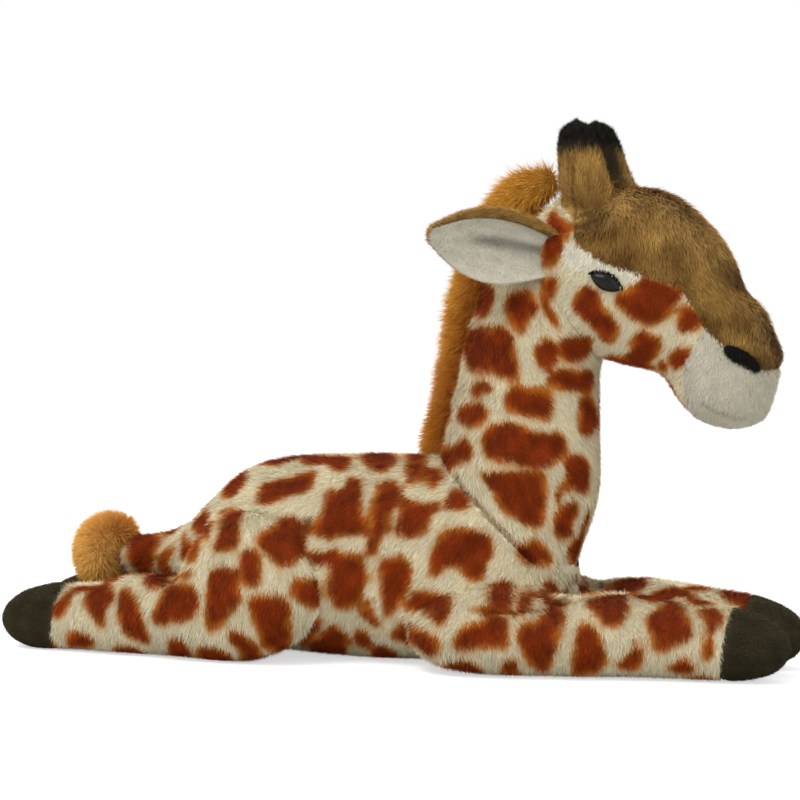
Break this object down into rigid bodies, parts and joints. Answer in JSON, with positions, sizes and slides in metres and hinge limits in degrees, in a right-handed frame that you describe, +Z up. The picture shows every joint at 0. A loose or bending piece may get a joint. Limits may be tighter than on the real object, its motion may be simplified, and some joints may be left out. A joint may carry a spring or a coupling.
{
  "type": "plush giraffe",
  "caption": "Lying plush giraffe with a raised neck, long muzzle, brush mane, tufted tail and legs stretched out.",
  "frame": {"origin": "centre of the bounding box's base, on the surface that the giraffe lies on, between its two sides", "axes": "+X towards the muzzle and the front hooves, +Y towards the giraffe's left side, +Z up"},
  "size_m": [0.4018, 0.1272, 0.2642],
  "materials": {
    "spotted_plush": "short pile, printed with rust spots on cream",
    "tan_plush": "long silky pile",
    "white_plush": "short pile",
    "dark_plush": "very short pile",
    "black_plush": "short pile",
    "mane_plush": "upright brush pile",
    "tuft_plush": "long pile",
    "eye_plastic": "gloss",
    "washer_plastic": "matte",
    "filling_fibre": "loose polyester fibre",
    "bag_cloth": "woven cloth, filled with plastic pellets"
  },
  "bodies": {
    "torso": {"torso_cover": "spotted_plush", "torso_filling": "filling_fibre", "pellet_bag": "bag_cloth"},
    "neck": {"neck_cover": "spotted_plush", "neck_filling": "filling_fibre", "mane": "mane_plush"},
    "head": {"face_cover": "spotted_plush", "forehead_panel": "tan_plush", "muzzle_cover": "white_plush", "head_filling": "filling_fibre", "eye_right": "eye_plastic", "eye_washer_right": "washer_plastic", "nose_patch_right": "black_plush", "horn_cover_right": "tan_plush", "horn_filling_right": "filling_fibre", "horn_tip_right": "black_plush", "eye_left": "eye_plastic", "eye_washer_left": "washer_plastic", "nose_patch_left": "black_plush", "horn_cover_left": "tan_plush", "horn_filling_left": "filling_fibre", "horn_tip_left": "black_plush"},
    "tail": {"tail_cover": "spotted_plush", "tail_filling": "filling_fibre", "tail_tuft": "tuft_plush"},
    "ear_right": {"ear_cover_right": "tan_plush", "ear_lining_right": "white_plush"},
    "front_leg_right": {"front_leg_cover_right": "spotted_plush", "front_leg_filling_right": "filling_fibre", "front_hoof_right": "dark_plush"},
    "hind_leg_right": {"hind_leg_cover_right": "spotted_plush", "hind_leg_filling_right": "filling_fibre", "hind_hoof_right": "dark_plush"},
    "ear_left": {"ear_cover_left": "tan_plush", "ear_lining_left": "white_plush"},
    "front_leg_left": {"front_leg_cover_left": "spotted_plush", "front_leg_filling_left": "filling_fibre", "front_hoof_left": "dark_plush"},
    "hind_leg_left": {"hind_leg_cover_left": "spotted_plush", "hind_leg_filling_left": "filling_fibre", "hind_hoof_left": "dark_plush"}
  },
  "joints": [
    {"name": "neck_bend", "type": "hinge", "parent": "torso", "child": "neck", "pos_m": [0.0655, 0, 0.08686], "axis": [0, 1, 0], "range_deg": [-6, 8], "stiffness_Nm_per_rad": 6},
    {"name": "head_nod", "type": "hinge", "parent": "neck", "child": "head", "pos_m": [0.09178, 0, 0.18144], "axis": [0, 1, 0], "range_deg": [-4, 8], "stiffness_Nm_per_rad": 3},
    {"name": "ear_fold_right", "type": "hinge", "parent": "head", "child": "ear_right", "pos_m": [0.08141, -0.03191, 0.20342], "axis": [0.2972, -0.1668, 0.9401], "range_deg": [-12, 20], "stiffness_Nm_per_rad": 0.1},
    {"name": "ear_fold_left", "type": "hinge", "parent": "head", "child": "ear_left", "pos_m": [0.08141, 0.03191, 0.20342], "axis": [-0.2972, -0.1668, -0.9401], "range_deg": [-12, 20], "stiffness_Nm_per_rad": 0.1},
    {"name": "front_leg_lift_right", "type": "hinge", "parent": "torso", "child": "front_leg_right", "pos_m": [0.0595, -0.04232, 0.02654], "axis": [0, -1, 0], "range_deg": [0, 15], "stiffness_Nm_per_rad": 0.8},
    {"name": "front_leg_lift_left", "type": "hinge", "parent": "torso", "child": "front_leg_left", "pos_m": [0.0595, 0.04232, 0.02654], "axis": [0, -1, 0], "range_deg": [0, 15], "stiffness_Nm_per_rad": 0.8},
    {"name": "hind_leg_splay_right", "type": "hinge", "parent": "torso", "child": "hind_leg_right", "pos_m": [-0.0505, -0.0368, 0.03694], "axis": [0, 0, 1], "range_deg": [0, 15], "stiffness_Nm_per_rad": 0.8},
    {"name": "hind_leg_splay_left", "type": "hinge", "parent": "torso", "child": "hind_leg_left", "pos_m": [-0.0505, 0.0368, 0.03694], "axis": [0, 0, -1], "range_deg": [0, 15], "stiffness_Nm_per_rad": 0.8},
    {"name": "tail_lift", "type": "hinge", "parent": "torso", "child": "tail", "pos_m": [-0.0945, 0, 0.0515], "axis": [0, 1, 0], "range_deg": [0, 25], "stiffness_Nm_per_rad": 0.3}
  ]
}
